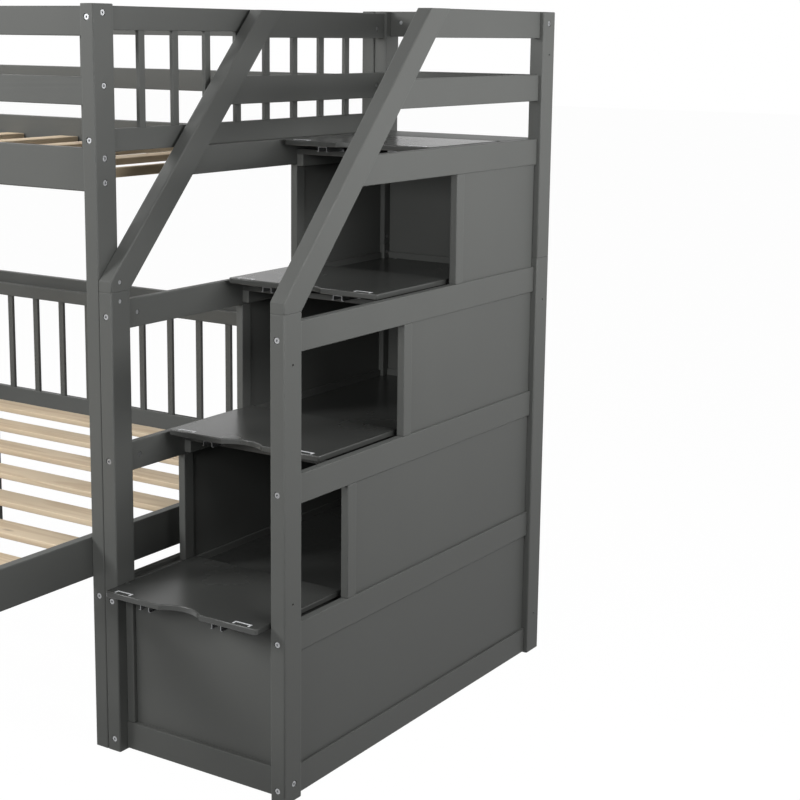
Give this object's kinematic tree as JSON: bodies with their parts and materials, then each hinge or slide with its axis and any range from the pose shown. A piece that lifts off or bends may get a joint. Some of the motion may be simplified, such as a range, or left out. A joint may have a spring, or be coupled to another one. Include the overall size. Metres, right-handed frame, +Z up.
{
  "type": "bunk bed",
  "caption": "Grey painted L-shaped bunk bed with a crosswise lower bed and a storage stair unit with handrails and pull-out treads.",
  "frame": {"origin": "centre of the footprint on the floor", "axes": "+X along the upper bunk towards the stair unit, +Y the way the stairs are climbed, +Z up"},
  "size_m": [2.4574, 2, 1.586],
  "materials": {
    "painted_timber": "dark grey satin paint",
    "painted_board": "dark grey satin paint",
    "natural_wood": "unpainted, planed",
    "steel": "zinc plated"
  },
  "bodies": {
    "frame": {"bunk_post_front_right": "painted_timber", "bunk_post_back_right": "painted_timber", "bunk_post_front_left": "painted_timber", "bunk_post_back_left": "painted_timber", "bunk_side_rail_front": "painted_timber", "bunk_side_rail_back": "painted_timber", "bunk_guard_rails": "painted_timber", "bunk_guard_stiles": "painted_timber", "bunk_end_rails": "painted_timber", "bunk_end_balusters": "painted_timber", "bunk_foot_rails": "painted_timber", "bunk_back_rail": "painted_timber", "bunk_cleats": "painted_timber", "bunk_slats": "natural_wood", "head_posts": "painted_timber", "foot_posts": "painted_timber", "head_rails": "painted_timber", "head_balusters": "painted_timber", "foot_rail": "painted_timber", "lower_side_rails": "painted_timber", "lower_cleats": "natural_wood", "lower_slats": "natural_wood", "stair_post_front_left": "painted_timber", "stair_post_front_right": "painted_timber", "stair_posts_back_lower": "painted_timber", "stair_posts_back_upper": "painted_timber", "handrail_left": "painted_timber", "handrail_right": "painted_timber", "step_rails_left": "painted_timber", "step_rails_right": "painted_timber", "landing_rails": "painted_timber", "stair_guard_rails": "painted_timber", "stair_stiles": "painted_timber", "side_panels_left": "painted_board", "side_panels_right": "painted_board", "back_rails": "painted_timber", "back_panels": "painted_board", "front_rail": "painted_timber", "front_battens": "painted_timber", "front_panel": "painted_board", "stair_floors": "painted_board", "landing_board": "painted_board", "stair_cleats": "painted_timber", "slide_channels": "steel", "bolts": "steel", "barrel_nuts": "steel", "link_screws": "steel", "split_dowels": "natural_wood"},
    "sliding_tread_1": {"tread_1": "painted_board", "tread_slides_1": "steel", "tread_plates_1": "steel"},
    "sliding_tread_2": {"tread_2": "painted_board", "tread_slides_2": "steel", "tread_plates_2": "steel"},
    "sliding_tread_3": {"tread_3": "painted_board", "tread_slides_3": "steel", "tread_plates_3": "steel"},
    "sliding_tread_4": {"tread_4": "painted_board", "tread_slides_4": "steel", "tread_plates_4": "steel"}
  },
  "joints": [
    {"name": "tread_1_slide", "type": "slide", "parent": "frame", "child": "sliding_tread_1", "axis": [0, -1, 0], "range_m": [0, 0.14]},
    {"name": "tread_2_slide", "type": "slide", "parent": "frame", "child": "sliding_tread_2", "axis": [0, -1, 0], "range_m": [0, 0.14]},
    {"name": "tread_3_slide", "type": "slide", "parent": "frame", "child": "sliding_tread_3", "axis": [0, -1, 0], "range_m": [0, 0.14]},
    {"name": "tread_4_slide", "type": "slide", "parent": "frame", "child": "sliding_tread_4", "axis": [0, -1, 0], "range_m": [0, 0.14]}
  ]
}
